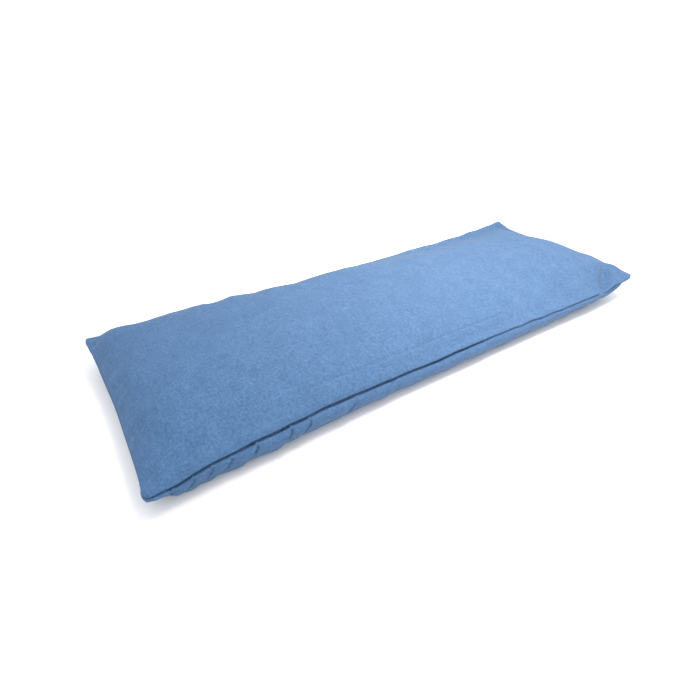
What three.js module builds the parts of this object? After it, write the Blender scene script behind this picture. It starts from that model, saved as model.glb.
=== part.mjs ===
// Eye pillow: a blue cotton cover, sewn shut over a calico bag of flaxseed and lavender.
//
// Millimetres, +Z up, +X along the length, +Y to the back. The pillow lies on its flat underside,
// and the origin is the middle of that underside. Each bag is two panels sewn together all round
// and turned, so each panel carries a seam allowance that folds inwards at the seam. Both
// allowances lie under the top panel. The left of the pillow holds more seed than the right.

import * as THREE from "three";

// Cloth and thread. Cloth thickness and gaps are measured upwards, and the cloth slopes near a seam.
const CLOTH = 0.6;
const FOLD_GAP = 0.8;
const ALLOWANCE_GAP = 0.7;
const FOLD_INSET = 0.8;
const THREAD_RADIUS = 0.18;
const THREAD_SIDES = 6;

// How far inside the seam each thread runs
const NEEDLE_INSET = 1.6;
const BOBBIN_INSET = 2.4;
const CLOSING_INSET = 1.2;

// How the filled pillow hangs together
const TAPER = 0.3;
const FLOOR_SPREAD = 1.6;
const CORNER_RADIUS = 5;
const SIDE_PULL = 2.2;
const END_PULL = 1.6;

// Points along half an outline: end, corner, long side, corner, end
const OUTLINE_STEPS = [2, 3, 10, 3, 2];

// The cover: corner to corner, and heights above the table
const COVER = {
  length: 245,
  width: 91,
  seamZ: 11,
  topZ: 24,
  floorZ: 0,
  insets: [4, 8, 14, 22, 32],
  allowanceRings: 2,
};

// The inner bag lies this far inside the cover's seam
const BAG_INSET = 6;
const INNER_BAG = {
  length: COVER.length - 2 * BAG_INSET,
  width: COVER.width - 2 * BAG_INSET,
  seamZ: 10.4,
  topZ: 22.3,
  floorZ: 1.1,
  insets: [3, 6, 12, 20, 28],
  allowanceRings: 2,
};

// The seed lies this far inside the inner bag's seam
const SEED_INSET = 3;
const SEED = {
  length: INNER_BAG.length - 2 * SEED_INSET,
  width: INNER_BAG.width - 2 * SEED_INSET,
  edgeZ: 7.8,
  topZ: 20.8,
  floorZ: 2.2,
  insets: [3, 8, 14, 24],
};

// The lavender lies in a shallow hollow in the top of the flaxseed
const LAVENDER_INSET = 14;
const LAVENDER_DEPTH = 1.8;
const LAVENDER_GAP = 0.4;

// The openings left for turning and filling, later closed by hand. They end at outline stations.
const LONG_SIDE_STEP = (COVER.length - 2 * CORNER_RADIUS) / OUTLINE_STEPS[2];
const COVER_GAP = { from: -3 * LONG_SIDE_STEP, to: LONG_SIDE_STEP };
const INNER_GAP_HALF = (INNER_BAG.width / 2 - CORNER_RADIUS) / OUTLINE_STEPS[0];

const COLOURS = {
  chambray: 0x3f6fb0,
  blueThread: 0x2d5592,
  calico: 0xe6dcc4,
  calicoThread: 0xf2ecdc,
  flaxseed: 0x7a4a26,
  lavender: 0x6f6590,
};

function fabric(colour, roughness) {
  return new THREE.MeshStandardMaterial({ color: colour, roughness, metalness: 0 });
}

// The rise of a filled panel from its seam, 0 at the seam and 1 at the middle of the width.
function dome(fraction) {
  return 1 - (1 - fraction) ** 3;
}

// How full the pillow is along its length, 1 at the left end.
function fullness(x) {
  return 1 - TAPER * (x / COVER.length + 0.5);
}

// The back half of a seam seen from above, from the middle of the right end to that of the left.
// The corners are rounded, and the sides are pulled in between them.
function halfOutline(length, width) {
  const endX = length / 2;
  const sideY = width / 2;
  const cornerX = endX - CORNER_RADIUS;
  const cornerY = sideY - CORNER_RADIUS;
  const path = new THREE.Path();
  path.moveTo(endX - END_PULL, 0);
  path.quadraticCurveTo(endX - END_PULL, cornerY / 2, endX, cornerY);
  path.quadraticCurveTo(endX, sideY, cornerX, sideY);
  path.quadraticCurveTo(0, sideY - 2 * SIDE_PULL, -cornerX, sideY);
  path.quadraticCurveTo(-endX, sideY, -endX, cornerY);
  path.quadraticCurveTo(END_PULL - endX, cornerY / 2, END_PULL - endX, 0);
  const points = path.curves.flatMap((curve, i) => curve.getPoints(OUTLINE_STEPS[i]).slice(0, -1));
  points.push(new THREE.Vector2(END_PULL - endX, 0));
  return points;
}

// A whole seam, anticlockwise seen from above. Point i and point count - i mirror each other.
function outlineOf(length, width) {
  const back = halfOutline(length, width);
  const front = back.slice(1, -1).reverse();
  return [...back, ...front.map((p) => new THREE.Vector2(p.x, -p.y))];
}

// A ring of points at one inset from an outline. The height may change along the length.
function ringAt(size, outline, inset, heightAt) {
  const scaleX = 1 - inset / (size.length / 2);
  const scaleY = 1 - inset / (size.width / 2);
  return outline.map((p) => {
    const x = p.x * scaleX;
    return new THREE.Vector3(x, p.y * scaleY, heightAt(x));
  });
}

// One closed body through rings of the same count, which run anticlockwise seen from outside the
// first. Each end is closed across its width.
function closedLoft(rings) {
  const count = rings[0].length;
  const index = [];
  rings.slice(1).forEach((_, row) => {
    for (let i = 0; i < count; i += 1) {
      const next = (i + 1) % count;
      const a = row * count + i;
      const b = row * count + next;
      index.push(a, a + count, b + count);
      index.push(a, b + count, b);
    }
  });
  const last = (rings.length - 1) * count;
  const across = (a, b, c) => {
    index.push(a, b, c);
    index.push(last + a, last + c, last + b);
  };
  for (let i = 0; i < count / 2; i += 1) {
    const partner = (count - i) % count;
    if (i + 1 < count - i - 1) across(i, i + 1, count - i - 1);
    if (i > 0) across(i, count - i - 1, partner);
  }
  const positions = rings.flat().flatMap((p) => [p.x, p.y, p.z]);
  const geometry = new THREE.BufferGeometry();
  geometry.setAttribute("position", new THREE.Float32BufferAttribute(positions, 3));
  geometry.setIndex(index);
  geometry.computeVertexNormals();
  return geometry;
}

// The two faces of a bag: how high each is at an inset from the seam.
function bagFaces(size) {
  const reach = size.width / 2;
  const lowerSeamZ = size.seamZ - 2 * CLOTH - FOLD_GAP - ALLOWANCE_GAP;
  const top = (inset, drop) => (x) =>
    size.seamZ + (size.topZ - size.seamZ) * fullness(x) * dome(inset / reach) - drop;
  const floor = (inset, lift) => () => {
    const fall = Math.min(1, FLOOR_SPREAD * dome(inset / reach));
    return lowerSeamZ - (lowerSeamZ - size.floorZ) * fall + lift;
  };
  return { top, floor };
}

// Rings at a list of insets, on one face of a bag and at one distance from it.
function ringsOn(bag, face, insets, offset) {
  return insets.map((inset) => ringAt(bag.size, bag.outline, inset, face(inset, offset)));
}

// The top panel: its outer face, the fold at the seam, the allowance, and its inner face.
function topPanel(bag) {
  const { insets } = bag.size;
  const inwards = insets.slice(0, bag.size.allowanceRings);
  const outwards = [...inwards].reverse();
  const { top } = bag.faces;
  const underAllowance = 2 * CLOTH + FOLD_GAP;
  const overAllowance = CLOTH + FOLD_GAP;
  return closedLoft([
    ...ringsOn(bag, top, [...insets].reverse(), 0),
    ...ringsOn(bag, top, [0], 0),
    ...ringsOn(bag, top, [0, ...inwards], underAllowance),
    ...ringsOn(bag, top, [...outwards, FOLD_INSET], overAllowance),
    ...ringsOn(bag, top, [FOLD_INSET, ...insets], CLOTH),
  ]);
}

// The bottom panel: its inner face, the allowance under the top panel's, and its outer face.
function bottomPanel(bag) {
  const { insets } = bag.size;
  const inwards = insets.slice(0, bag.size.allowanceRings);
  const outwards = [...inwards].reverse();
  const { top, floor } = bag.faces;
  const overAllowance = 2 * CLOTH + FOLD_GAP + ALLOWANCE_GAP;
  const underAllowance = overAllowance + CLOTH;
  return closedLoft([
    ...ringsOn(bag, floor, [...insets].reverse(), CLOTH),
    ...ringsOn(bag, floor, [FOLD_INSET], CLOTH),
    ...ringsOn(bag, top, [FOLD_INSET, ...inwards], underAllowance),
    ...ringsOn(bag, top, [...outwards, 0], overAllowance),
    ...ringsOn(bag, floor, insets, 0),
  ]);
}

// A thread along part of a seam, at one inset and one depth below the top panel's outer face.
function seamThread(bag, inset, depth, holds) {
  const angles = Array.from({ length: THREAD_SIDES }, (_, i) => (2 * Math.PI * i) / THREAD_SIDES);
  const heightAt = bag.faces.top(inset, depth);
  const strands = angles.map((angle) =>
    ringAt(bag.size, bag.outline, inset - THREAD_RADIUS * Math.cos(angle), (x) =>
      heightAt(x) + THREAD_RADIUS * Math.sin(angle)),
  );
  const count = bag.outline.length;
  const start = bag.outline.findIndex((p, i) => holds(p) && !holds(bag.outline.at(i - 1)));
  const sections = [];
  for (let i = start; holds(bag.outline[i % count]) && sections.length < count; i += 1) {
    sections.push(strands.map((strand) => strand[i % count]));
  }
  return closedLoft(sections);
}

function namedMesh(name, geometry, material) {
  const mesh = new THREE.Mesh(geometry, material);
  mesh.name = name;
  return mesh;
}

// A sewn and turned bag: two panels, the two threads of the machine seam, which stops short at the
// opening, and the thread that closes the opening.
function sewnBag(prefix, size, cloth, thread, inOpening) {
  const bag = { size, outline: outlineOf(size.length, size.width), faces: bagFaces(size) };
  const needleDepth = CLOTH + FOLD_GAP / 2;
  const closingDepth = 2 * CLOTH + FOLD_GAP + ALLOWANCE_GAP / 2;
  const bobbinDepth = 3 * CLOTH + FOLD_GAP + ALLOWANCE_GAP + 2 * THREAD_RADIUS;
  const sewn = (p) => !inOpening(p, -1);
  const closed = (p) => inOpening(p, 1);
  const piece = (name, geometry, material) => namedMesh(`${prefix}_${name}`, geometry, material);
  const group = new THREE.Group();
  group.add(
    piece("top_panel", topPanel(bag), cloth),
    piece("bottom_panel", bottomPanel(bag), cloth),
    piece("needle_thread", seamThread(bag, NEEDLE_INSET, needleDepth, sewn), thread),
    piece("bobbin_thread", seamThread(bag, BOBBIN_INSET, bobbinDepth, sewn), thread),
    piece("closing_thread", seamThread(bag, CLOSING_INSET, closingDepth, closed), thread),
  );
  return group;
}

// The seed inside the inner bag, and the lavender in a hollow in its top.
function seedFill() {
  const outline = outlineOf(SEED.length, SEED.width);
  const reach = SEED.width / 2;
  const hollow = LAVENDER_DEPTH + LAVENDER_GAP;
  const top = (inset, drop) => (x) =>
    SEED.edgeZ + (SEED.topZ - SEED.edgeZ) * fullness(x) * dome(inset / reach) - drop;
  const floor = (inset) => () => {
    const fall = Math.min(1, FLOOR_SPREAD * dome(inset / reach));
    return SEED.edgeZ - (SEED.edgeZ - SEED.floorZ) * fall;
  };
  const rings = (insets, face, drop) =>
    insets.map((inset) => ringAt(SEED, outline, inset, face(inset, drop)));
  const inHollow = SEED.insets.filter((inset) => inset >= LAVENDER_INSET);
  const outside = SEED.insets.filter((inset) => inset < LAVENDER_INSET);
  const brim = LAVENDER_INSET - 2 * LAVENDER_GAP;
  const flaxseed = closedLoft([
    ...rings([...inHollow].reverse(), top, hollow),
    ...rings([brim, ...[...outside].reverse(), 0], top, 0),
    ...rings(SEED.insets, floor, 0),
  ]);
  const lavender = closedLoft([
    ...rings([...inHollow].reverse(), top, 0),
    ...rings(inHollow, top, LAVENDER_DEPTH),
  ]);
  const group = new THREE.Group();
  group.add(
    namedMesh("flaxseed_fill", flaxseed, fabric(COLOURS.flaxseed, 0.55)),
    namedMesh("lavender_buds", lavender, fabric(COLOURS.lavender, 0.9)),
  );
  return group;
}

// The cover's opening is in its front long seam, and the inner bag's is in its right end.
// A margin of 1 takes in the stations at the opening's ends, and -1 leaves them to the seam.
const inCoverOpening = (p, margin) =>
  p.y < 0 && p.x > COVER_GAP.from - margin && p.x < COVER_GAP.to + margin;
const inInnerOpening = (p, margin) =>
  p.x > 0 && Math.abs(p.y) < INNER_GAP_HALF + margin;

const chambray = fabric(COLOURS.chambray, 0.9);
const blueThread = fabric(COLOURS.blueThread, 0.7);
const calico = fabric(COLOURS.calico, 0.95);
const calicoThread = fabric(COLOURS.calicoThread, 0.7);

const eyePillow = new THREE.Group();
eyePillow.add(
  sewnBag("cover", COVER, chambray, blueThread, inCoverOpening),
  sewnBag("inner_bag", INNER_BAG, calico, calicoThread, inInnerOpening),
  seedFill(),
);

export default eyePillow;
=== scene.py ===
"""The looks of an eye pillow: a sewn blue cotton cover over a calico bag of flaxseed and lavender.

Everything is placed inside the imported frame's boxes. Shapes are worked out in millimetres, on
grids that follow the cloth, and turned into metres when a mesh is made. A grid point has a place u
along the pillow, from -1 at the left end to 1 at the right, and v across it, from -1 at the front
seam to 1 at the back one.
"""

import math

import bpy
import numpy as np
from mathutils import Matrix, Vector


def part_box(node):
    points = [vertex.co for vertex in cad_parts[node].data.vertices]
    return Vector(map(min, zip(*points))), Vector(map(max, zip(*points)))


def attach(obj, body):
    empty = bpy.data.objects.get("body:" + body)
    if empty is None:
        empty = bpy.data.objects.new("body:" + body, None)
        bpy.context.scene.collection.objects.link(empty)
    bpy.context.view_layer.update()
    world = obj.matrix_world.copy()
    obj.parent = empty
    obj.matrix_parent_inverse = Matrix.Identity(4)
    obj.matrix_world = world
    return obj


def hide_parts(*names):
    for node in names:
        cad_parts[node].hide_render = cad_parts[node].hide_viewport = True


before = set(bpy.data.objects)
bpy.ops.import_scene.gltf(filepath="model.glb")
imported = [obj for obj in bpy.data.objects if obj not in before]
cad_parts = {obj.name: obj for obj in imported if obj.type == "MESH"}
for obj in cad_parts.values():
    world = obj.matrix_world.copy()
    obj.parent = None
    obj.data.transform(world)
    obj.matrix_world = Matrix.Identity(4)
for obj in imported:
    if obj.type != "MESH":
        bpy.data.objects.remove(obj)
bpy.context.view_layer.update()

MM = 0.001

# The sizes of the cover and of the bag in it come from the frame.
cover_low, cover_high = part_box("cover_top_panel")
LENGTH = (cover_high.x - cover_low.x) / MM
WIDTH = (cover_high.y - cover_low.y) / MM
THICKNESS = cover_high.z / MM
HALF_LENGTH = LENGTH / 2
HALF_WIDTH = WIDTH / 2
bag_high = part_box("inner_bag_top_panel")[1]
BAG_INSET = HALF_LENGTH - bag_high.x / MM

# Cloth, in millimetres
CLOTH = 0.4
FOLD_RADIUS = 0.5
FOLD_GAP = 0.4
ALLOWANCE_GAP = 0.1
COVER_ALLOWANCE = 8.0
BAG_ALLOWANCE = 6.0

# Thread, in millimetres
THREAD_RADIUS = 0.13
STITCH = 2.5
STITCH_INSET = 1.3

# Allowances: the rings across one, as shares of its width, and how the lower fold curls over into
# the crevice where that is wide
ALLOWANCE_RINGS = (0.1, 0.2, 0.4, 0.7, 0.92, 1.0)
CURL = math.radians(70)
POCKET_DEPTH = 1.1

# The shares of the crevice's width that the upper and the lower face give way by
UPPER_SHARE = 0.24
LOWER_SHARE = 0.76

# Seam line: how far the sides and ends are pulled in, and how the corner tips are rounded
SIDE_PULL = 2.4
END_PULL = 1.6
TIP_RADIUS = 4.0
CORNER_HEIGHTS = {"left_back": 12.0, "right_back": 11.6, "right_front": 12.0, "left_front": 7.7}

# How far in from the front seam the lower panel comes to rest, at places along the pillow
FRONT_RUN = (
    (-122.5, 7.5), (-117, 5.0), (-110, 5.0), (-104, 5.8), (-96, 5.6), (-88, 6.6), (-76, 7.4),
    (-68, 6.4), (-60, 6.6), (-45, 6.4), (-30, 5.6), (-10, 5.2), (10, 5.8), (25, 5.6), (40, 5.8),
    (52, 7.2), (65, 7.8), (80, 8.0), (95, 7.8), (108, 9.2), (118, 13.0), (122.5, 15.0),
)

# How sharply the upper face turns down to the back seam, at places along the pillow
BACK_FULLNESS = (
    (-122.5, 6.2), (-95, 5.9), (-74, 6.2), (-62, 6.0), (-47, 5.5), (-37, 4.5), (-28, 3.7),
    (-10, 3.6), (4, 3.1), (20, 2.6), (45, 2.3), (80, 2.1), (122.5, 2.3),
)

# How much higher or lower the upper face lies along the back, at places along the pillow. A scratch
# program worked most of these out from the photo's outline: they weren't chosen by hand.
BACK_LIFT = (
    (-122.5, 0.3), (-113, 0.72), (-104, -0.09), (-99, -0.26), (-94, 0.04), (-84, 0.72),
    (-79, 0.53), (-72, -0.38), (-62, 0.16), (-50, -0.49), (-38, -0.26), (-25, 0.58), (-15, 0.77),
    (3, 0.62), (26, 0.46), (42, -0.03), (51, -0.6), (69, -0.9), (88, -1.0), (122.5, -0.7),
)

# The width of the crevice between the folds of the front seam, chosen for how dark it looks
FRONT_GAP = (
    (-122.5, 0.85), (-116, 1.05), (-106, 1.2), (-90, 1.05), (-60, 0.92), (0, 1.0), (14, 0.85),
    (28, 0.25), (70, 0.15), (122.5, 0.2),
)

# The hand-sewn gap in the front seam. Its allowance shows as far as GAP_END, and its hand stitches
# end sooner.
GAP_START = -72.0
GAP_END = 36.0
STITCH_END = GAP_END - 13.0

# Half the length of the filling gap in the bag's right end
BAG_GAP = 17.0

# The pleats in the lower panel beside the front seam: where they lie, and how high each one is
PLEATS = (-118.5, -113.8, -107.0, -100.9, -94.6, -85.9, -73.3, -66.0, -47.5, -27.0)
PLEAT_HEIGHTS = (0.4, 0.5, 0.65, 0.7, 0.8, 1.0, 0.55, 0.45, 0.25)

# How much of the cloth solver's folds the cover keeps near the seam, the furthest that they move a
# point, and the reach past which a swelling is too broad to be a fold and is left out
FOLD_SHARE = 0.5
FOLD_CAP = 0.5
BROAD_REACH = 16.0

# The cloth solver's settings. Points below RESTING_BELOW stay where they are.
SOLVER_FRAMES = 20
PRESSURE = 4
CLOTH_MASS = 0.15
STRETCH_STIFFNESS = 20
SHEAR_STIFFNESS = 8
BENDING_STIFFNESS = 0.5
SEAM_SHRINK = 0.08
RESTING_BELOW = 0.3

# Grid cells along and across a panel
CELLS_LONG = 330
CELLS_WIDE = 144
SIM_CELLS_LONG = 120
SIM_CELLS_WIDE = 44
BAG_CELLS_LONG = 150
BAG_CELLS_WIDE = 56


# ---- Small helpers ------------------------------------------------------------------------------

def hump(x, centre, width):
    """A smooth bump of height 1."""
    return np.exp(-(((x - centre) / width) ** 2))


def smooth(t):
    """0 below 0, 1 above 1, smooth between."""
    t = np.clip(t, 0, 1)
    return t * t * (3 - 2 * t)


def unit(a):
    """Vectors of length 1."""
    return a / np.maximum(np.linalg.norm(a, axis=-1, keepdims=True), 1e-9)


def stations(cells):
    """Grid lines from -1 to 1, closer together near both seams."""
    w = np.linspace(-1, 1, cells + 1)
    return 0.5 * w + 0.5 * np.sin(w * math.pi / 2)


def crowded(cells, half, extra):
    """Grid lines from -1 to 1, closer together near both seams and wherever extra is high."""
    x = np.linspace(-half, half, 4001)
    density = 1 + 1.5 * np.exp(-(half - np.abs(x)) / 5.5) + extra(x)
    total = np.concatenate([[0], np.cumsum((density[1:] + density[:-1]) / 2)])
    return np.interp(np.linspace(0, total[-1], cells + 1), total, x) / half


def side_distance(v):
    return (1 - np.abs(v)) * HALF_WIDTH


def end_distance(u):
    return (1 - np.abs(u)) * HALF_LENGTH


class Waves:
    """A smooth random field over the pillow: plane waves of about one wavelength, in mm."""

    def __init__(self, seed, wavelength, count=14):
        random = np.random.default_rng(seed)
        angle = random.uniform(0, math.tau, count)
        length = wavelength * random.uniform(0.7, 1.5, count)
        self.kx = np.cos(angle) * math.tau / length
        self.ky = np.sin(angle) * math.tau / length
        self.phase = random.uniform(0, math.tau, count)
        self.scale = math.sqrt(2 / count)

    def __call__(self, x, y):
        total = np.zeros_like(x)
        for kx, ky, phase in zip(self.kx, self.ky, self.phase):
            total += np.sin(kx * x + ky * y + phase)
        return total * self.scale


# ---- The shape of the filled cover --------------------------------------------------------------

def plan(u, v):
    """Where a grid point lies seen from above."""
    pull = END_PULL * (1 - v**4) + (0.15 + 0.45 * hump(v, 0, 0.3)) * (1 - v**4) * (u < 0)
    x = u * (HALF_LENGTH - pull * u**2)
    y = v * (HALF_WIDTH - SIDE_PULL * (1 - u**2) * v**2)
    # Each corner tip is rounded, and the grid lines inside it with it.
    end, side = end_distance(u), side_distance(v)
    level = np.minimum(end, side)
    along = np.abs(end - side)
    radius = np.maximum(TIP_RADIUS - level, 1e-6)
    turn = math.pi / 4 * np.clip(1 - along / radius, 0, 1)
    in_tip = along < radius
    slide = np.where(in_tip, radius * (1 - np.sin(turn)) - along, 0.0)
    sink = np.where(in_tip, radius * (1 - np.cos(turn)), 0.0)
    by_end = end < side
    x -= np.sign(u) * np.where(by_end, sink, slide)
    y -= np.sign(v) * np.where(by_end, slide, sink)
    return x, y


def seam_height(u, v):
    """The height of the seam, carried across the pillow between its four sides."""
    c = CORNER_HEIGHTS
    front = (
        10.0 + (c["left_front"] - 10.0) * np.exp(-(1 + u) / 0.05)
        + (c["right_front"] - 10.0) * np.exp(-(1 - u) / 0.07)
        - 1.7 * hump(u, -0.93, 0.055) + 1.4 * hump(u, -0.5, 0.26) - 1.6 * hump(u, 0.66, 0.3)
    )
    level = 10.4 - 0.6 * smooth((u - 0.38) / 0.2)
    back = (
        level + (c["left_back"] - level) * np.exp(-(1 + u) / 0.08)
        + (c["right_back"] - level) * np.exp(-(1 - u) / 0.08)
    )
    left = (
        10.0 + (c["left_front"] - 10.0) * np.exp(-(1 + v) / 0.2)
        + (c["left_back"] - 10.0) * np.exp(-(1 - v) / 0.25)
    )
    right = (
        10.2 + (c["right_front"] - 10.2) * np.exp(-(1 + v) / 0.2)
        + (c["right_back"] - 10.2) * np.exp(-(1 - v) / 0.25) + 3.6 * hump(v, -0.5, 0.42)
    )
    s, t = (v + 1) / 2, (u + 1) / 2
    sides = (1 - s) * front + s * back + (1 - t) * left + t * right
    corners = (
        (1 - s) * (1 - t) * c["left_front"] + (1 - s) * t * c["right_front"]
        + s * (1 - t) * c["left_back"] + s * t * c["right_back"]
    )
    return sides - corners


def top_height(u, v):
    """The upper face: full and steep at the back left, lower and flatter to the right."""
    seam = seam_height(u, v)
    crown = THICKNESS - 0.4 - 1.5 * (u + 1)
    back_power = np.interp(u * HALF_LENGTH, *zip(*BACK_FULLNESS))
    front_power = 2.5 + 0.5 * smooth((0.1 - u) / 0.8)
    power = np.where(v > 0, back_power, front_power)
    across = 1 - np.abs(v) ** power
    right_power = 14 + 13 * smooth((0.35 - v) / 0.6)
    along = 1 - np.abs(u) ** np.where(u > 0, right_power, 22)
    return seam + (crown - seam) * across * along


def bottom_reach(u, v):
    """How far a point of the lower face is on its way from the seam, 0, to where it rests, 1."""
    side, end = side_distance(v), end_distance(u)
    other = 6.0 + 9.0 * np.exp(-(side**2 + end**2) / 16.0**2)
    front = np.interp(u * HALF_LENGTH, *zip(*FRONT_RUN))
    share = smooth((0.3 - v) / 0.6)
    run = front * share + other * (1 - share)
    from_side = np.clip(1 - side / run, 0, 1)
    from_end = np.clip(1 - end / (other + 2.0), 0, 1)
    power = 3.0
    return np.clip(1 - (from_side**power + from_end**power) ** (1 / power), 0, 1)


def top_face(u, v):
    x, y = plan(u, v)
    return np.stack([x, y, top_height(u, v)], axis=-1)


def bottom_face(u, v):
    x, y = plan(u, v)
    reach = bottom_reach(u, v)
    right = smooth((u + 0.3) / 0.5) * (1 - smooth((u - 0.72) / 0.16))
    size = 1.3 + 0.2 * smooth((u + 0.1) / 0.6) + 0.7 * right
    belly = size * np.sin(math.pi * reach ** (0.42 - 0.07 * right)) * (reach < 1)
    flatter = 1 - 0.6 * smooth((-0.7 - u) / 0.1)
    at_side = smooth((side_distance(v) - 9.0) / -5.0)
    at_end = smooth((end_distance(u) - 9.0) / -5.0)
    x = x + np.sign(u) * belly * at_end * (1 - at_side)
    y = y + np.sign(v) * belly * flatter * at_side * (1 - 0.4 * at_end)
    return np.stack([x, y, seam_height(u, v) * (1 - reach) ** 2], axis=-1)


def grid_normals(points, upwards):
    """Unit normals of a grid of points, pointing out of the pillow."""
    along = np.gradient(points, axis=0)
    across = np.gradient(points, axis=1)
    normals = unit(np.cross(along, across))
    return normals if upwards else -normals


# ---- Meshes -------------------------------------------------------------------------------------

def new_mesh(name, points, faces):
    """A smooth-shaded mesh object, from points in millimetres and an array or a list of faces."""
    mesh = bpy.data.meshes.new(name)
    corners = faces.tolist() if isinstance(faces, np.ndarray) else faces
    mesh.from_pydata((np.asarray(points) * MM).tolist(), [], corners)
    mesh.polygons.foreach_set("use_smooth", np.ones(len(mesh.polygons), bool))
    made = bpy.data.objects.new(name, mesh)
    bpy.context.scene.collection.objects.link(made)
    return made


def ring_indices(rows, columns):
    """The border of a grid as index pairs, anticlockwise from the left front corner."""
    front = [(i, 0) for i in range(rows)]
    right = [(rows - 1, j) for j in range(1, columns)]
    back = [(i, columns - 1) for i in range(rows - 2, -1, -1)]
    left = [(0, j) for j in range(columns - 2, 0, -1)]
    return np.array(front + right + back + left)


def grid_faces(index, upwards):
    """The quads between the points of a grid of vertex numbers."""
    a, b, c, d = index[:-1, :-1], index[1:, :-1], index[1:, 1:], index[:-1, 1:]
    corners = (a, b, c, d) if upwards else (d, c, b, a)
    return np.stack([corner.ravel() for corner in corners], axis=1)


# ---- Cloth simulation ---------------------------------------------------------------------------

def balloon(top, bottom):
    """The two faces joined at their shared border: vertex numbers of each, and all the points."""
    rows, columns = top.shape[:2]
    top_index = np.arange(rows * columns).reshape(rows, columns)
    bottom_index = top_index.copy()
    inside = (rows - 2) * (columns - 2)
    fresh = rows * columns + np.arange(inside).reshape(rows - 2, columns - 2)
    bottom_index[1:-1, 1:-1] = fresh
    points = np.concatenate([top.reshape(-1, 3), bottom[1:-1, 1:-1].reshape(-1, 3)])
    return top_index, bottom_index, points


def inflate(top, bottom):
    """Blows up the sewn cover with the cloth solver, and gives how far each face's points moved."""
    top_index, bottom_index, points = balloon(top, bottom)
    faces = np.concatenate([grid_faces(top_index, True), grid_faces(bottom_index, False)])
    bag = new_mesh("balloon", points, faces)
    resting = bag.vertex_groups.new(name="resting")
    low_points = np.flatnonzero(points[:, 2] < RESTING_BELOW)
    resting.add(low_points.tolist(), 1.0, "REPLACE")
    seam = bag.vertex_groups.new(name="seam")
    ring = ring_indices(*top_index.shape)
    seam.add(top_index[ring[:, 0], ring[:, 1]].tolist(), 1.0, "REPLACE")

    cloth = bag.modifiers.new("cloth", "CLOTH")
    settings = cloth.settings
    settings.quality = 5
    settings.mass = CLOTH_MASS
    settings.tension_stiffness = STRETCH_STIFFNESS
    settings.compression_stiffness = STRETCH_STIFFNESS
    settings.shear_stiffness = SHEAR_STIFFNESS
    settings.bending_stiffness = BENDING_STIFFNESS
    settings.use_pressure = True
    settings.uniform_pressure_force = PRESSURE
    settings.vertex_group_mass = resting.name
    settings.vertex_group_shrink = seam.name
    settings.shrink_min = 0.0
    settings.shrink_max = SEAM_SHRINK
    settings.effector_weights.gravity = 0
    cloth.collision_settings.use_collision = False
    cloth.point_cache.frame_start = 1
    cloth.point_cache.frame_end = SOLVER_FRAMES
    scene = bpy.context.scene
    for number in range(1, SOLVER_FRAMES + 1):
        scene.frame_set(number)
    shaped = bag.evaluated_get(bpy.context.evaluated_depsgraph_get())
    moved = np.empty(len(points) * 3, np.float32)
    shaped.data.vertices.foreach_get("co", moved)
    moved = moved.reshape(-1, 3) / MM - points
    mesh = bag.data
    bpy.data.objects.remove(bag)
    bpy.data.meshes.remove(mesh)
    scene.frame_set(1)
    return moved[top_index], moved[bottom_index]


def spread(lines, fine):
    """Cubic spline weights that carry values from coarse grid lines to fine ones."""
    place = np.interp(fine, lines, np.arange(len(lines)))
    start = np.minimum(place.astype(int), len(lines) - 2)
    t = place - start
    parts = ((1 - t) ** 3, 3 * t**3 - 6 * t**2 + 4, -3 * t**3 + 3 * t**2 + 3 * t + 1, t**3)
    weights = np.zeros((len(fine), len(lines) + 2))
    for step, part in enumerate(parts):
        weights[np.arange(len(fine)), start + step] += part / 6
    # The lines past both ends mirror the ones inside, so that the end values stay as they are.
    weights[:, 1] += 2 * weights[:, 0]
    weights[:, 2] -= weights[:, 0]
    weights[:, -2] += 2 * weights[:, -1]
    weights[:, -3] -= weights[:, -1]
    return weights[:, 1:-1]


def blur(lines, reach):
    """Weights that average over a reach."""
    weights = np.exp(-(((lines[:, None] - lines[None]) / reach) ** 2))
    return weights / weights.sum(axis=1, keepdims=True)


def settle(lines_u, lines_v):
    """The small folds that the cloth solver finds, as moves of both faces' fine grid points."""
    sim_u, sim_v = stations(SIM_CELLS_LONG), stations(SIM_CELLS_WIDE)
    u, v = np.meshgrid(sim_u, sim_v, indexing="ij")
    moves = inflate(top_face(u, v), bottom_face(u, v))
    along = blur(sim_u * HALF_LENGTH, BROAD_REACH)
    across = blur(sim_v * HALF_WIDTH, BROAD_REACH)
    fine_u, fine_v = spread(sim_u, lines_u), spread(sim_v, lines_v)
    near = np.minimum(side_distance(v), end_distance(u))
    fade = smooth(near / 3.0)[..., None]
    result = []
    for move in moves:
        broad = np.einsum("ia,jb,abc->ijc", along, across, move)
        keep = FOLD_SHARE * (0.12 + np.exp(-near / 7.0))[..., None]
        folds = (move - broad) * fade * keep
        size = np.linalg.norm(folds, axis=-1, keepdims=True)
        folds *= np.tanh(size / FOLD_CAP) * FOLD_CAP / np.maximum(size, 1e-6)
        result.append(np.einsum("ia,jb,abc->ijc", fine_u, fine_v, folds))
    return result


# ---- Panels -------------------------------------------------------------------------------------

def sample(field, u, v, lines_u, lines_v):
    """A grid's values at any u and v between its lines."""
    fi = np.interp(u, lines_u, np.arange(len(lines_u)))
    fj = np.interp(v, lines_v, np.arange(len(lines_v)))
    i = np.minimum(fi.astype(int), len(lines_u) - 2)
    j = np.minimum(fj.astype(int), len(lines_v) - 2)
    a, b = (fi - i)[..., None], (fj - j)[..., None]
    near = field[i, j] * (1 - a) + field[i + 1, j] * a
    far = field[i, j + 1] * (1 - a) + field[i + 1, j + 1] * a
    return near * (1 - b) + far * b


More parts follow.
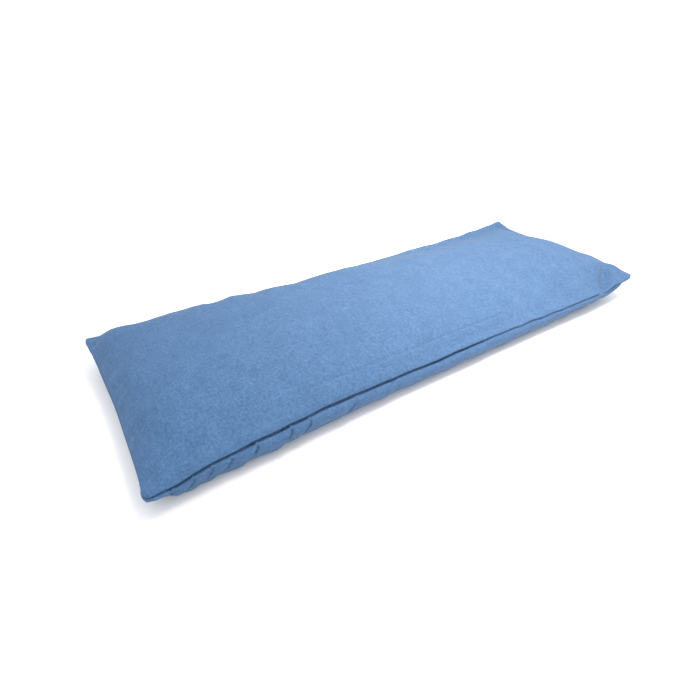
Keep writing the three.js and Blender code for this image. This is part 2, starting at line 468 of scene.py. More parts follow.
class Bag:
    """The outer faces of a sewn bag's two panels, on one grid, with the seam round their border."""

    def __init__(self, top, bottom, lines_u, lines_v, half_length, half_width, allowance, gap):
        self.top, self.bottom = top, bottom
        self.lines_u, self.lines_v = lines_u, lines_v
        self.half_length, self.half_width = half_length, half_width
        self.allowance = allowance
        self.gap = gap
        self.rows, self.columns = len(lines_u), len(lines_v)
        self.top_normals = grid_normals(top, True)
        self.bottom_normals = grid_normals(bottom, False)
        self.ring = ring_indices(self.rows, self.columns)
        self.ring_u = lines_u[self.ring[:, 0]]
        self.ring_v = lines_v[self.ring[:, 1]]

    def border(self, field):
        return field[self.ring[:, 0], self.ring[:, 1]]

    def under_top(self, u, v, inset, depth):
        """Points below the top face, at a distance in from the seam."""
        u = u * (1 - inset / self.half_length)
        v = v * (1 - inset / self.half_width)
        place = sample(self.top, u, v, self.lines_u, self.lines_v)
        normal = unit(sample(self.top_normals, u, v, self.lines_u, self.lines_v))
        return place - normal * np.asarray(depth)[..., None]

    def gap_at(self, u, v):
        return sample(self.gap[..., None], u, v, self.lines_u, self.lines_v)[..., 0]

    def ring_under_top(self, inset, depth):
        return self.under_top(self.ring_u, self.ring_v, inset, depth)

    def border_frame(self, points, normals):
        """At each border point, the way the cloth runs out over the seam, and the way inside."""
        border = self.border(points)
        inner_i = np.clip(self.ring[:, 0], 1, self.rows - 2)
        inner_j = np.clip(self.ring[:, 1], 1, self.columns - 2)
        outward = border - points[inner_i, inner_j]
        seam = unit(np.roll(border, -1, axis=0) - np.roll(border, 1, axis=0))
        outward = unit(outward - (outward * seam).sum(1, keepdims=True) * seam)
        inside = unit(np.cross(outward, seam))
        facing = self.border(normals)
        inside *= -np.sign((inside * facing).sum(1, keepdims=True))
        return border, outward, inside

    def panel(self, name, outer, rings, inner, upwards):
        """One closed cloth: an outer face, rings that fold in at its border, and an inner face."""
        count = len(self.ring)
        outer_index = np.arange(self.rows * self.columns).reshape(self.rows, self.columns)
        first = outer_index.size
        inner_index = outer_index + first + len(rings) * count
        before = self.border(outer_index)
        points = [outer.reshape(-1, 3), *rings, inner.reshape(-1, 3)]
        faces = [grid_faces(outer_index, upwards), grid_faces(inner_index, not upwards)]
        borders = [first + k * count + np.arange(count) for k in range(len(rings))]
        for now in [*borders, self.border(inner_index)]:
            quads = np.stack([before, now, np.roll(now, -1), np.roll(before, -1)], axis=1)
            faces.append(quads if upwards else quads[:, ::-1])
            before = now
        return new_mesh(name, np.concatenate(points), np.concatenate(faces))

    def panels(self, prefix):
        """Both panels, with their allowances folded in under the upper one."""
        insets = [s * self.allowance for s in ALLOWANCE_RINGS]
        depth = 2 * FOLD_RADIUS
        border, outward, inside = self.border_frame(self.top, self.top_normals)
        top_outward = outward
        rings = [
            border + FOLD_RADIUS * (math.sin(a) * outward + (1 - math.cos(a)) * inside)
            for a in np.radians((25, 50, 75, 100, 125, 150, 180))
        ]
        rings += [self.ring_under_top(s, depth) for s in insets]
        rings += [self.ring_under_top(s, depth - CLOTH) for s in insets[::-1]]
        inner = self.top - self.top_normals * CLOTH
        upper = self.panel(f"{prefix}_upper_cloth", self.top, rings, inner, True)

        # The lower fold curls over and down where the crevice is wide.
        border, outward, inside = self.border_frame(self.bottom, self.bottom_normals)
        gap = self.border(self.gap)
        wide = smooth((gap - 0.5) / 0.6)[:, None]
        bend = np.arccos(np.clip(-(outward * top_outward).sum(1), -1, 1))[:, None]
        bend = bend + wide * CURL
        rings = [
            border + FOLD_RADIUS * (np.sin(bend * s) * outward + (1 - np.cos(bend * s)) * inside)
            for s in (0.2, 0.4, 0.6, 0.8, 1.0)
        ]
        inwards = np.cos(bend) * outward + np.sin(bend) * inside
        pocket = rings[-1] + (0.1 + POCKET_DEPTH * wide) * inwards
        rings.append(pocket)
        depths = [depth + ALLOWANCE_GAP + gap * max(0, 1 - s / 7.0) for s in insets]
        rings += [self.ring_under_top(s, d) for s, d in zip(insets, depths)]
        rings += [self.ring_under_top(s, d + CLOTH) for s, d in zip(insets[::-1], depths[::-1])]
        rings.append(pocket + CLOTH * (np.cos(bend) * inside - np.sin(bend) * outward))
        inner = self.bottom - self.bottom_normals * CLOTH
        lower = self.panel(f"{prefix}_lower_cloth", self.bottom, rings, inner, False)
        return upper, lower


def part_faces(top, bottom, near, gap):
    """Parts the two faces at the seam by the width of the folds, fading out a little way in."""
    fade = 1 - smooth(near / 5.0)
    top[..., 2] += (2 * FOLD_RADIUS + UPPER_SHARE * gap) * fade
    bottom[..., 2] -= (0.2 * FOLD_RADIUS + LOWER_SHARE * gap) * fade


# ---- The cover ----------------------------------------------------------------------------------

def dented(top, u, v):
    """The top face's soft dents, seam puckers and creases."""
    x, y = top[..., 0], top[..., 1]
    side, end = side_distance(v), end_distance(u)
    near = np.minimum(side, end)
    inner = smooth(near / 12.0)
    lift = (0.14 + 0.08 * smooth(x / 40.0)) * Waves(3, 34)(x, y) * inner
    lift += 0.03 * Waves(5, 9)(x, y) * smooth(near / 3.0)
    # Puckers run in from the seam.
    along = np.where(side < end, x, y + 400)
    pucker = np.sin(along / 1.7 + 1.3 * np.sin(along / 6.1)) * np.sin(along / 14.0 + 0.5)
    lift += 0.10 * pucker * np.exp(-near / 3.5) * smooth(near / 1.0)
    # At the left end they are longer.
    phase = y + 2.2 * np.sin(y / 7.3 + 1.0) + 0.9 * np.sin(y / 3.1)
    tuck = np.sin(math.tau * phase / 7.5) * (0.55 + 0.45 * np.sin(y / 5.1 + 0.7))
    reach = 4.5 + 2.0 * np.sin(y / 9.0 + 2.0)
    lift += (
        0.3 * tuck * np.exp(-(end / reach) ** 2) * smooth(end / 1.5)
        * (u < 0) * smooth(side / 9)
    )
    # The face rolls over before it meets the front seam.
    roll = (
        (0.3 + 1.2 * smooth((20 - x) / 80))
        * (1 - np.exp(-side / 2.0)) * np.exp(-(side / 12.0) ** 2)
    )
    lift += roll * (v < 0) * smooth(end / 9)
    # The left front corner is dimpled, and the back is a little hollow towards the right.
    lift -= 0.5 * hump(x, -113.5, 2.6) * hump(y, -34.0, 4.0)
    lift -= 0.4 * hump(x, -106.5, 2.0) * hump(y, -37.0, 3.0)
    lift -= 0.5 * hump(x, 52.0, 14.0) * hump(y, 27.0, 9.0)
    lift += 0.3 * hump(x, 72.0, 9.0) * hump(y, 33.0, 6.0)
    back_lift = np.interp(u * HALF_LENGTH, *zip(*BACK_LIFT))
    lift += back_lift * smooth((v - 0.35) / 0.45) * smooth(side / 5)
    # The back edge is wavy at the left.
    back = smooth((v - 0.45) / 0.3) * smooth((-x - 25) / 30) * smooth(side / 4.0)
    lift += 0.22 * np.sin(x / 3.3 + 1.2 * np.sin(x / 11.0)) * back
    # The right front corner is pinched into an ear with a crease across it.
    corner = (HALF_LENGTH - x) * 0.55 + (y + HALF_WIDTH) * 0.85
    reach = smooth((30 - np.hypot(HALF_LENGTH - x, y + HALF_WIDTH)) / 12)
    crease = -1.7 * hump(corner, 14.0, 2.0) * smooth((end - 2.0) / 9.0)
    lift += (crease - 0.5 * hump(corner, 14.0, 2.0) + 0.5 * hump(corner, 9.5, 2.6)) * reach
    top += grid_normals(top, True) * lift[..., None]
    # The hand-sewn gap's allowance shows as a step in front, and one stitch ticks across it.
    gap = smooth((x - GAP_START) / 16.0) * smooth((GAP_END - x) / 3.0) * (v < 0)
    step = 0.9 * smooth(side / 7.0) * (1 - smooth((side - 7.0) / 14.0))
    step -= 0.20 * smooth((side - 7.2) / 0.8) * (1 - smooth((side - 7.6) / 6.0))
    step -= 0.4 * hump(side, 7.7, 0.6)
    tick = -0.22 * hump(x, 18.0, 0.55) * smooth((7.4 - side) / 1.0) * smooth((side - 1.5) / 1.0)
    top += grid_normals(top, True) * (gap * step + tick * (v < 0))[..., None]


def pleated(bottom, u, v):
    """The lower panel's folds beside the front seam, and its soft unevenness."""
    x = bottom[..., 0]
    side, end = side_distance(v), end_distance(u)
    reach = bottom_reach(u, v)
    drop = (1 - (1 - np.clip(reach, 0, 1)) ** 2) * 10.0
    slanted = x + 0.85 * drop
    fold = np.zeros_like(x)
    for start, stop, height in zip(PLEATS[:-1], PLEATS[1:], PLEAT_HEIGHTS):
        share = (slanted - start) / (stop - start)
        rise = np.clip(share, 0, 1) ** 1.3
        fall = 1 - smooth((slanted - stop) / 0.7 + 0.5)
        fold += height * rise * fall * (share > 0)
        fold -= (0.8 + 2.0 * height) * hump(slanted, stop + 0.45, 0.42)
    front = (v < 0) * smooth(side / 0.7) * (1 - smooth((side - 8.0) / 8.0))
    lift = fold * front
    near = np.minimum(side, end)
    lift += 0.12 * Waves(11, 12)(x, bottom[..., 1]) * smooth(near / 2.0)
    bottom += grid_normals(bottom, False) * lift[..., None]


def cover_bag():
    lines_u = crowded(CELLS_LONG, HALF_LENGTH, lambda x: 2.6 * smooth((-60 - x) / 12))
    lines_v = crowded(CELLS_WIDE, HALF_WIDTH, lambda y: 0.9 * hump(y, 7.5 - HALF_WIDTH, 4.0))
    u, v = np.meshgrid(lines_u, lines_v, indexing="ij")
    top, bottom = top_face(u, v), bottom_face(u, v)
    top_folds, bottom_folds = settle(lines_u, lines_v)
    top += top_folds
    bottom += bottom_folds
    wave = 0.14 * Waves(8, 13)(top[..., 0], top[..., 1])
    near = np.minimum(side_distance(v), end_distance(u))
    for face in (top, bottom):
        face[..., 2] += wave * (1 - smooth(near / 6.0))
    dented(top, u, v)
    pleated(bottom, u, v)
    front_gap = np.interp(u * HALF_LENGTH, *zip(*FRONT_GAP))
    share = smooth((0.3 - v) / 0.6)
    gap = front_gap * share + FOLD_GAP * (1 - share)
    part_faces(top, bottom, near, gap)
    bottom[..., 1] -= 0.9 * np.clip(gap - 0.4, 0, 0.6) * (1 - smooth(near / 4.0))
    bottom[..., 2] = np.maximum(bottom[..., 2], 0.0)
    return Bag(top, bottom, lines_u, lines_v, HALF_LENGTH, HALF_WIDTH, COVER_ALLOWANCE, gap)


# ---- The inner bag ------------------------------------------------------------------------------

def inner_bag(cover):
    """A bag that fills the cover, a little clear of its inside and of its seam allowances."""
    lines_p, lines_q = stations(BAG_CELLS_LONG), stations(BAG_CELLS_WIDE)
    p, q = np.meshgrid(lines_p, lines_q, indexing="ij")
    half_length, half_width = HALF_LENGTH - BAG_INSET, HALF_WIDTH - BAG_INSET
    u, v = p * half_length / HALF_LENGTH, q * half_width / HALF_WIDTH
    top = sample(cover.top, u, v, cover.lines_u, cover.lines_v)
    bottom = sample(cover.bottom, u, v, cover.lines_u, cover.lines_v)
    middle = (top + bottom) / 2
    fullness = (1 - np.abs(p) ** 16) * (1 - np.abs(q) ** 6)
    half = np.maximum((top - middle)[..., 2], 1.0)
    share = (fullness * (1 - 1.0 / half))[..., None]
    near = np.minimum((1 - np.abs(p)) * half_length, (1 - np.abs(q)) * half_width)
    top, bottom = middle + (top - middle) * share, middle + (bottom - middle) * share
    gap = np.full(p.shape, FOLD_GAP)
    part_faces(top, bottom, near, gap)
    return Bag(top, bottom, lines_p, lines_q, half_length, half_width, BAG_ALLOWANCE, gap)


# ---- Threads ------------------------------------------------------------------------------------

def tubes(name, paths, radius, sides=6):
    """One mesh of closed-ended tubes round paths of points."""
    points, faces, start = [], [], 0
    angles = np.arange(sides) * math.tau / sides
    for path in paths:
        tangent = unit(np.gradient(path, axis=0))
        across = unit(np.cross(tangent, (0.12, 0.07, 1.0)))
        up = np.cross(across, tangent)
        ring = (
            path[:, None] + radius * np.cos(angles)[None, :, None] * across[:, None]
            + radius * np.sin(angles)[None, :, None] * up[:, None]
        )
        points.append(ring.reshape(-1, 3))
        index = start + np.arange(len(path) * sides).reshape(len(path), sides)
        index = np.concatenate([index, index[:, :1]], axis=1)
        faces += grid_faces(index, True).tolist()
        faces += [index[0, :sides].tolist(), index[-1, sides - 1::-1].tolist()]
        start += len(path) * sides
    return new_mesh(name, np.concatenate(points), faces)


def seam_places(bag, gap_side, gap_low, gap_high):
    """Places along a seam every half stitch, as u and v, leaving out the hand-sewn gap."""
    step = STITCH / 2
    u_of = lambda x: x / bag.half_length
    v_of = lambda y: y / bag.half_width
    margin = 2.5
    ends_x, ends_y = bag.half_length - margin, bag.half_width - margin
    along_x = np.arange(-ends_x, ends_x, step)
    along_y = np.arange(-ends_y, ends_y, step)
    front = np.stack([u_of(along_x), -np.ones_like(along_x)], axis=1)
    right = np.stack([np.ones_like(along_y), v_of(along_y)], axis=1)
    back = np.stack([u_of(-along_x), np.ones_like(along_x)], axis=1)
    left = np.stack([-np.ones_like(along_y), v_of(-along_y)], axis=1)
    if gap_side == "front":
        keep = (along_x < gap_low) | (along_x > gap_high)
        after = along_x > gap_high
        return np.concatenate([front[after], right, back, left, front[keep & ~after]])
    after = along_y > gap_high
    before = along_y < gap_low
    return np.concatenate([right[after], back, left, front, right[before]])


def machine_seam(name, bag, places, side):
    """Half a lockstitch: a thread along one side of the allowances that dips between them."""
    far = CLOTH + THREAD_RADIUS
    path = []
    for share, reach in ((0.0, 0.1), (0.35, 1.0), (0.7, 1.0)):
        shifted = places[0::2] * (1 - share) + np.roll(places[0::2], -1, axis=0) * share
        loose = np.maximum(bag.gap_at(shifted[:-1, 0], shifted[:-1, 1]) - FOLD_GAP, 0) * 0.45
        middle = 2 * FOLD_RADIUS + ALLOWANCE_GAP / 2 + loose
        depth = middle + side * (far + 0.1 + loose) * reach
        path.append(bag.under_top(shifted[:-1, 0], shifted[:-1, 1], STITCH_INSET, depth))
    path = np.stack(path, axis=1).reshape(-1, 3)
    return tubes(name, [path], THREAD_RADIUS)


def ladder_seam(name, bag, side, low, high):
    """Hand stitches that run in one fold, cross the seam and run back in the other."""
    steps = np.arange(low, high, STITCH * 0.75)
    path = []
    for number, (start, stop) in enumerate(zip(steps[:-1], steps[1:])):
        for share in (0.1, 0.4, 0.7, 0.9):
            place = start + (stop - start) * share
            if side == "front":
                u, v = place / bag.half_length, -1.0
            else:
                u, v = 1.0, place / bag.half_width
            u, v = np.array(u), np.array(v)
            lower = 2 * FOLD_RADIUS + 0.3 + bag.gap_at(u, v)
            path.append(bag.under_top(u, v, 0.6, FOLD_RADIUS if number % 2 == 0 else lower))
    return tubes(name, [np.array(path)], THREAD_RADIUS)


# ---- Filling ------------------------------------------------------------------------------------

def inside_bag(bag, share_height, inset):
    """A closed mound in a bag: its top and bottom faces on the bag's own grid."""
    keep_u = bag.lines_u * (1 - inset / bag.half_length)
    keep_v = bag.lines_v * (1 - inset / bag.half_width)
    u, v = np.meshgrid(keep_u, keep_v, indexing="ij")
    top = sample(bag.top, u, v, bag.lines_u, bag.lines_v)
    bottom = sample(bag.bottom, u, v, bag.lines_u, bag.lines_v)
    middle = (top + bottom) / 2
    p = np.minimum((1 - np.abs(u / keep_u[-1])) * bag.half_length,
                   (1 - np.abs(v / keep_v[-1])) * bag.half_width)
    fullness = np.sqrt(np.clip(1 - (1 - np.clip(p / 8.0, 0, 1)) ** 2, 0, 1))
    half = np.maximum((top - middle)[..., 2], 0.5)
    share = (fullness * np.clip(1 - share_height / half, 0.1, 1))[..., None]
    return middle + (top - middle) * share, middle + (bottom - middle) * share


def grain_shape(length, width, thickness, rings, sides):
    """A seed or bud lying along x: pointed at one end, as points and faces."""
    points = [(-length / 2, 0.0, 0.0)]
    for k in range(1, rings + 1):
        t = k / (rings + 1)
        swell = math.sin(math.pi * t**0.8)
        for n in range(sides):
            a = math.tau * n / sides
            points.append((length * (t - 0.5), width / 2 * swell * math.cos(a),
                           thickness / 2 * swell * math.sin(a)))
    points.append((length / 2, 0.0, 0.0))
    faces = []
    for n in range(sides):
        m = (n + 1) % sides
        faces.append((0, 1 + m, 1 + n, 1 + n))
        for k in range(rings - 1):
            a, b = 1 + k * sides, 1 + (k + 1) * sides
            faces.append((a + n, a + m, b + m, b + n))
        last = 1 + (rings - 1) * sides
        faces.append((last + n, last + m, len(points) - 1, len(points) - 1))
    return np.array(points), faces


def scatter(places, normals, shape, faces, seed, start):
    """Copies of a grain at places on a surface, each turned its own way."""
    random = np.random.default_rng(seed)
    spin = random.uniform(0, math.tau, len(places))
    scale = random.uniform(0.85, 1.1, len(places))
    tilt = random.normal(0, 0.25, (len(places), 3))
    up = unit(normals + tilt)
    side = unit(np.cross(up, np.stack([np.cos(spin), np.sin(spin), 0 * spin], axis=1)))
    ahead = np.cross(side, up)
    local = shape[None] * scale[:, None, None]
    points = (
        places[:, None] + local[..., :1] * ahead[:, None] + local[..., 1:2] * side[:, None]
        + local[..., 2:] * up[:, None]
    )
    quads = np.array(faces)[None] + (start + np.arange(len(places)) * len(shape))[:, None, None]
    return points.reshape(-1, 3), quads.reshape(-1, 4)


def solid(name, points, quads):
    """A mesh from quads, of which some have a doubled corner and are triangles."""
    return new_mesh(name, points, [q[:3] if q[2] == q[3] else q for q in quads.tolist()])


def flaxseed(bag):
    top, bottom = inside_bag(bag, 1.6, 4.0)
    hollow_u = bag.lines_u[:, None] * np.ones_like(bag.lines_v)[None]
    hollow_v = bag.lines_v[None] * np.ones_like(bag.lines_u)[:, None]
    hollow = smooth((0.86 - np.abs(hollow_u)) / 0.1) * smooth((0.66 - np.abs(hollow_v)) / 0.2)
    top[..., 2] -= 1.9 * hollow
    top_index, bottom_index, points = balloon(top, bottom)
    quads = np.concatenate([grid_faces(top_index, True), grid_faces(bottom_index, False)])
    shape, faces = grain_shape(4.4, 2.3, 1.1, 3, 6)
    random = np.random.default_rng(21)
    count = 2200
    points, quads = [points], [quads]
    start = len(points[0])
    for face, upwards, shift in ((top, True, 0), (bottom, False, 7)):
        u = random.uniform(-0.96, 0.96, count)
        v = random.uniform(-0.93, 0.93, count)
        normals = grid_normals(face, upwards)
        place = sample(face, u, v, bag.lines_u, bag.lines_v)
        normal = unit(sample(normals, u, v, bag.lines_u, bag.lines_v))
        more, more_quads = scatter(place, normal, shape, faces, 22 + shift, start)
        points.append(more)
        quads.append(more_quads)
        start += len(more)
    return solid("flaxseed_heap", np.concatenate(points), np.concatenate(quads)), top


def lavender(bag, bed):
    """Buds that lie in the hollow on top of the seed."""
    shape, faces = grain_shape(4.6, 1.6, 1.6, 4, 6)
    random = np.random.default_rng(31)
    count = 420
    u = random.uniform(-0.80, 0.80, count)
    v = random.uniform(-0.52, 0.52, count)
    place = sample(bed, u, v, bag.lines_u, bag.lines_v)
    place[:, 2] += 0.9
    normal = np.tile((0.0, 0.0, 1.0), (count, 1))
    points, quads = scatter(place, normal, shape, faces, 32, 0)
    return solid("lavender_heap", points, quads)


# ---- Materials ----------------------------------------------------------------------------------

class Nodes:
    """A material's node tree, with short ways to add nodes to it."""

    def __init__(self, name):
        self.material = bpy.data.materials.new(name)
        self.material.use_nodes = True
        self.tree = self.material.node_tree
        self.shader = self.tree.nodes["Principled BSDF"]

    def add(self, kind, inputs=(), **settings):
        node = self.tree.nodes.new(kind)
        for key, value in settings.items():
            setattr(node, key, value)
        for socket, value in dict(inputs).items():
            if isinstance(value, bpy.types.NodeSocket):
                self.tree.links.new(value, node.inputs[socket])
            else:
                node.inputs[socket].default_value = value
        return node

    def math(self, operation, *values):
        return self.add("ShaderNodeMath", dict(enumerate(values)), operation=operation).outputs[0]

    def noise(self, vector, scale, detail=2.0):
        inputs = {"Vector": vector, "Scale": scale, "Detail": detail}
        return self.add("ShaderNodeTexNoise", inputs).outputs["Fac"]

    def stretched(self, vector, scale):
        inputs = {0: vector, 1: scale}
        return self.add("ShaderNodeVectorMath", inputs, operation="MULTIPLY").outputs[0]

    def ramp(self, value, stops):
        node = self.add("ShaderNodeValToRGB", {"Fac": value})
        node.color_ramp.elements[0].position = stops[0][0]
        node.color_ramp.elements[0].color = (*stops[0][1], 1)
        node.color_ramp.elements[1].position = stops[-1][0]
        node.color_ramp.elements[1].color = (*stops[-1][1], 1)
        for position, colour in stops[1:-1]:
            node.color_ramp.elements.new(position).color = (*colour, 1)
        return node.outputs["Color"]

    def bump(self, height, strength, distance):
        inputs = {"Height": height, "Strength": strength, "Distance": distance}
        bump = self.add("ShaderNodeBump", inputs)
        self.tree.links.new(bump.outputs["Normal"], self.shader.inputs["Normal"])

    def feed(self, socket, value):
        self.tree.links.new(value, self.shader.inputs[socket])

    def set(self, socket, value):
        self.shader.inputs[socket].default_value = value

    def place(self):
        """Object coordinates, in millimetres."""
        return self.stretched(self.add("ShaderNodeTexCoord").outputs["Object"], (1 / MM,) * 3)


def woven(name, colours, pitch, slub, bump, roughness, sheen, side):
    """Plain-woven cotton: uneven yarns both ways, a fine weave over them and faint blotches."""
    nodes = Nodes(name)
    place = nodes.place()
    bend = nodes.math("MULTIPLY_ADD", nodes.noise(place, 0.05), 1.6, -0.8)
    shift = nodes.add("ShaderNodeCombineXYZ", {"X": bend, "Y": bend}).outputs[0]
    place = nodes.add("ShaderNodeVectorMath", {0: place, 1: shift}, operation="ADD").outputs[0]
    warp = nodes.noise(nodes.stretched(place, (0.35, 2.2, 2.2)), 1.0, 3.0)
    weft = nodes.noise(nodes.stretched(place, (2.2, 0.35, 0.35)), 1.0, 3.0)
    fleck = nodes.noise(place, 1.25, 2.0)
    blotch = nodes.noise(place, 0.16, 3.0)
    yarns = nodes.math("ADD", warp, weft)
    mixed = nodes.math("MULTIPLY_ADD", yarns, slub, nodes.math("MULTIPLY", fleck, 1 - 2 * slub))
    split = nodes.add("ShaderNodeSeparateXYZ", {0: place}).outputs
    turn = math.pi / pitch
    over = nodes.math("SINE", nodes.math("MULTIPLY", split["X"], turn))
    # Measured over the crown, so that the weave keeps its size on the slopes to both seams.
    across = nodes.math("MULTIPLY_ADD", split["Z"], -side, nodes.math("ABSOLUTE", split["Y"]))
    under = nodes.math("SINE", nodes.math("MULTIPLY", across, turn))
    weave = nodes.math("MULTIPLY", over, under)
    tone = nodes.math("MULTIPLY_ADD", weave, 0.03, mixed)
    tone = nodes.math("MULTIPLY_ADD", nodes.math("SUBTRACT", blotch, 0.5), 0.16, tone)
    low, middle, high = colours
    nodes.feed("Base Color", nodes.ramp(tone, [(0.34, low), (0.5, middle), (0.66, high)]))
    height = nodes.math("MULTIPLY_ADD", weave, 0.35, mixed)
    nodes.bump(height, bump, 0.12 * MM)
    rough = nodes.math("MULTIPLY_ADD", fleck, 0.16, roughness - 0.08)
    nodes.feed("Roughness", rough)
    nodes.set("Specular IOR Level", 0.12)
    nodes.set("Sheen Weight", sheen)
    nodes.set("Sheen Roughness", 0.5)
    nodes.set("Sheen Tint", (0.8, 0.88, 1.0, 1))
    return nodes.material


def twisted(name, colours):
    """Sewing thread: fine diagonal plies and a little fuzz."""
    nodes = Nodes(name)
    place = nodes.place()
    split = nodes.add("ShaderNodeSeparateXYZ", {0: place}).outputs
    slope = nodes.math("ADD", split["X"], split["Y"])
    ply = nodes.math("SINE", nodes.math("MULTIPLY", slope, 16.0))
    fuzz = nodes.noise(place, 6.0)
    tone = nodes.math("MULTIPLY_ADD", ply, 0.12, fuzz)
    nodes.feed("Base Color", nodes.ramp(tone, [(0.3, colours[0]), (0.7, colours[1])]))
    nodes.bump(tone, 0.5, 0.05 * MM)
    nodes.feed("Roughness", nodes.math("MULTIPLY_ADD", fuzz, 0.2, 0.55))
    nodes.set("Sheen Weight", 0.1)
    return nodes.material


def grainy(name, colours, scale, roughness, gloss):
    """Seed or bud: each a slightly different tone, with a fine grain."""
    nodes = Nodes(name)
    place = nodes.place()
    tone = nodes.noise(place, scale, 3.0)
    fine = nodes.noise(place, scale * 8, 2.0)
    blended = nodes.math("MULTIPLY_ADD", fine, 0.25, nodes.math("MULTIPLY", tone, 0.75))
    low, high = colours
    nodes.feed("Base Color", nodes.ramp(blended, [(0.35, low), (0.65, high)]))
    nodes.bump(blended, 0.4, 0.1 * MM)
    nodes.feed("Roughness", nodes.math("MULTIPLY_ADD", fine, 0.2, roughness))
    nodes.set("Coat Weight", gloss)
    return nodes.material


# ---- Setting ------------------------------------------------------------------------------------

# The camera: its place in millimetres, its angles in degrees and its lens. They were fitted to the
# pillow's four corners in the photo.
CAMERA_PLACE = (-120.2, -150.2, 125.35)
CAMERA_AZIMUTH = -33.43
CAMERA_ELEVATION = 35.95
CAMERA_ROLL = 0.2
CAMERA_LENS = 24.61

# The sky's brightness: level with the floor, overhead, more towards the right and more in front
HORIZON = 1.1
ZENITH = 1.85
SKY_LEAN = (0.37, -0.04, 0.0)
FRONT_SKY = 0.28
SKY_COLOUR = (0.99, 1.0, 1.02, 1.0)

# The lamp, in metres, watts and degrees
LAMP_PLACE = (0.05, -0.06, 0.33)
LAMP_TARGET = (0.05, 0.0, 0.0)
LAMP_SIZE = 0.13
LAMP_POWER = 0.29
LAMP_SPREAD = 65
LAMP_COLOUR = (1.0, 0.78, 0.66)

FLOOR_HALF = 9000
FLOOR_HEIGHT = -0.2


def place_camera():
    """The camera stands close by, at the left front, and looks down at the pillow."""
    azimuth = math.radians(CAMERA_AZIMUTH)
    elevation = math.radians(CAMERA_ELEVATION)
    roll = math.radians(CAMERA_ROLL)
    back = Vector((
        math.sin(azimuth) * math.cos(elevation),
        -math.cos(azimuth) * math.cos(elevation),
        math.sin(elevation),
    ))
    right = Vector((math.cos(azimuth), math.sin(azimuth), 0))
    up = back.cross(right)
    turned_right = right * math.cos(roll) + up * math.sin(roll)
    turned_up = up * math.cos(roll) - right * math.sin(roll)
    data = bpy.data.cameras.new("camera")
    data.lens = CAMERA_LENS
    data.clip_start = 0.01
    camera = bpy.data.objects.new("camera", data)
    camera.matrix_world = Matrix((turned_right, turned_up, back)).transposed().to_4x4()
    camera.location = Vector(CAMERA_PLACE) * MM
    bpy.context.scene.collection.objects.link(camera)
    bpy.context.scene.camera = camera


def lamp():
    """A soft round lamp over the pillow's right half."""
    data = bpy.data.lights.new("key", "AREA")
    data.shape = "DISK"
    data.size = LAMP_SIZE
    data.spread = math.radians(LAMP_SPREAD)
    data.color = LAMP_COLOUR
    data.energy = LAMP_POWER
    light = bpy.data.objects.new("key", data)
    light.location = LAMP_PLACE
    aim = Vector(LAMP_TARGET) - Vector(LAMP_PLACE)
    light.rotation_euler = aim.to_track_quat("-Z", "Y").to_euler()
    bpy.context.scene.collection.objects.link(light)


def calculate(tree, operation, *inputs, kind="ShaderNodeMath"):
    """A node that works something out, with each input linked or set."""
    node = tree.nodes.new(kind)
    node.operation = operation
    for socket, value in zip(node.inputs, inputs):
        if isinstance(value, bpy.types.NodeSocket):
            tree.links.new(value, socket)
        else:
            socket.default_value = value
    return node


def sky():
    """A white sky, brighter overhead, towards the right and in front."""
    world = bpy.data.worlds.new("sky")
    world.use_nodes = True
    tree = world.node_tree
    background = tree.nodes["Background"].inputs
    background["Color"].default_value = SKY_COLOUR
    place = tree.nodes.new("ShaderNodeTexCoord").outputs["Generated"]
    split = tree.nodes.new("ShaderNodeSeparateXYZ")
    tree.links.new(place, split.inputs[0])
    height = split.outputs["Z"]
    square = calculate(tree, "MULTIPLY", height, height).outputs[0]
    rise = calculate(tree, "MULTIPLY_ADD", square, ZENITH - HORIZON, HORIZON).outputs[0]
    lean = calculate(tree, "DOT_PRODUCT", place, SKY_LEAN, kind="ShaderNodeVectorMath")
    total = calculate(tree, "ADD", rise, lean.outputs["Value"]).outputs[0]
    facing = calculate(tree, "MULTIPLY_ADD", split.outputs["Y"], -1.0, 0.0)
    facing.use_clamp = True
    strength = calculate(tree, "MULTIPLY_ADD", facing.outputs[0], FRONT_SKY, total).outputs[0]
    tree.links.new(strength, background["Strength"])
    bpy.context.scene.world = world


def white_floor():
    half, height = FLOOR_HALF, FLOOR_HEIGHT
    corners = [(-half, -half, height), (half, -half, height), (half, half, height),
               (-half, half, height)]
    floor = new_mesh("floor", corners, [(0, 1, 2, 3)])
    nodes = Nodes("white_floor")
    grain = nodes.noise(nodes.place(), 0.02)
    nodes.feed("Base Color", nodes.ramp(grain, [(0.2, (0.80,) * 3), (0.8, (0.82,) * 3)]))
    nodes.set("Roughness", 0.9)
    nodes.set("Specular IOR Level", 0.1)
    floor.data.materials.append(nodes.material)


def studio():
    sky()
    lamp()
    white_floor()
    bpy.context.scene.view_settings.view_transform = "Standard"


# ---- Assembly -----------------------------------------------------------------------------------

def finished(piece, node, material):
    piece.data.materials.append(material)
    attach(piece, "root")
    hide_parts(node)


place_camera()
studio()

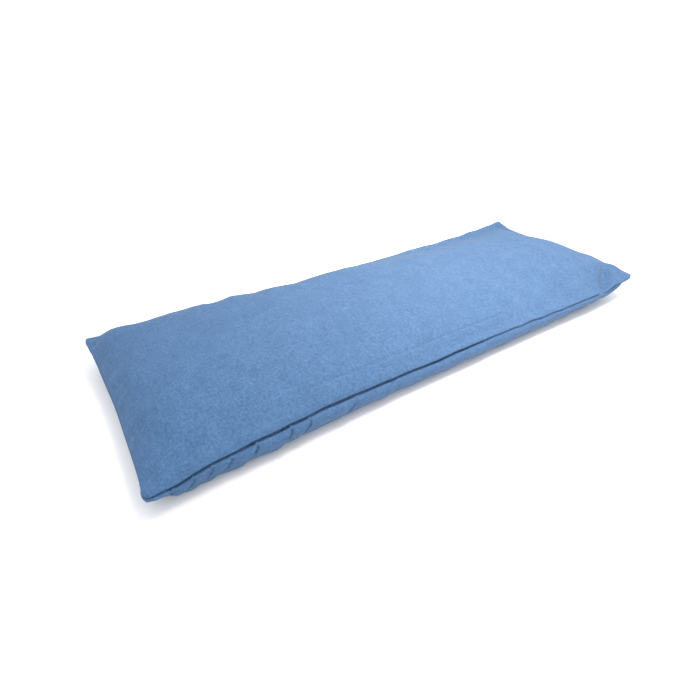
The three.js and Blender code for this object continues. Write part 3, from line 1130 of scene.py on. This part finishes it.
CHAMBRAY = ((0.042, 0.094, 0.190), (0.058, 0.126, 0.247), (0.078, 0.163, 0.304))
CALICO = ((0.52, 0.45, 0.33), (0.62, 0.55, 0.43), (0.71, 0.65, 0.54))
cotton_above = woven("chambray_above", CHAMBRAY, 0.42, 0.27, 0.55, 0.9, 0.08, 1)
cotton_below = woven("chambray_below", CHAMBRAY, 0.42, 0.27, 0.55, 0.9, 0.08, -1)
calico_above = woven("calico_above", CALICO, 0.6, 0.36, 0.6, 0.9, 0.15, 1)
calico_below = woven("calico_below", CALICO, 0.6, 0.36, 0.6, 0.9, 0.15, -1)
cotton_thread = twisted("blue_thread", ((0.08, 0.14, 0.26), (0.15, 0.24, 0.40)))
calico_thread = twisted("undyed_thread", ((0.60, 0.54, 0.42), (0.74, 0.69, 0.58)))
seed_look = grainy("flaxseed", ((0.10, 0.045, 0.018), (0.26, 0.13, 0.055)), 0.45, 0.32, 0.3)
bud_look = grainy("lavender", ((0.10, 0.09, 0.16), (0.26, 0.22, 0.36)), 0.5, 0.8, 0.0)

cover = cover_bag()
upper, lower = cover.panels("cover")
finished(upper, "cover_top_panel", cotton_above)
finished(lower, "cover_bottom_panel", cotton_below)

places = seam_places(cover, "front", GAP_START, STITCH_END)
finished(machine_seam("cover_needle_stitches", cover, places, -1),
         "cover_needle_thread", cotton_thread)
finished(machine_seam("cover_bobbin_stitches", cover, places, 1),
         "cover_bobbin_thread", cotton_thread)
finished(ladder_seam("cover_closing_stitches", cover, "front", GAP_START, STITCH_END),
         "cover_closing_thread", cotton_thread)

bag = inner_bag(cover)
upper, lower = bag.panels("bag")
finished(upper, "inner_bag_top_panel", calico_above)
finished(lower, "inner_bag_bottom_panel", calico_below)

places = seam_places(bag, "right", -BAG_GAP, BAG_GAP)
finished(machine_seam("bag_needle_stitches", bag, places, -1),
         "inner_bag_needle_thread", calico_thread)
finished(machine_seam("bag_bobbin_stitches", bag, places, 1),
         "inner_bag_bobbin_thread", calico_thread)
finished(ladder_seam("bag_closing_stitches", bag, "right", -BAG_GAP, BAG_GAP),
         "inner_bag_closing_thread", calico_thread)

seed, bed = flaxseed(bag)
finished(seed, "flaxseed_fill", seed_look)
buds = lavender(bag, bed)
finished(buds, "lavender_buds", bud_look)
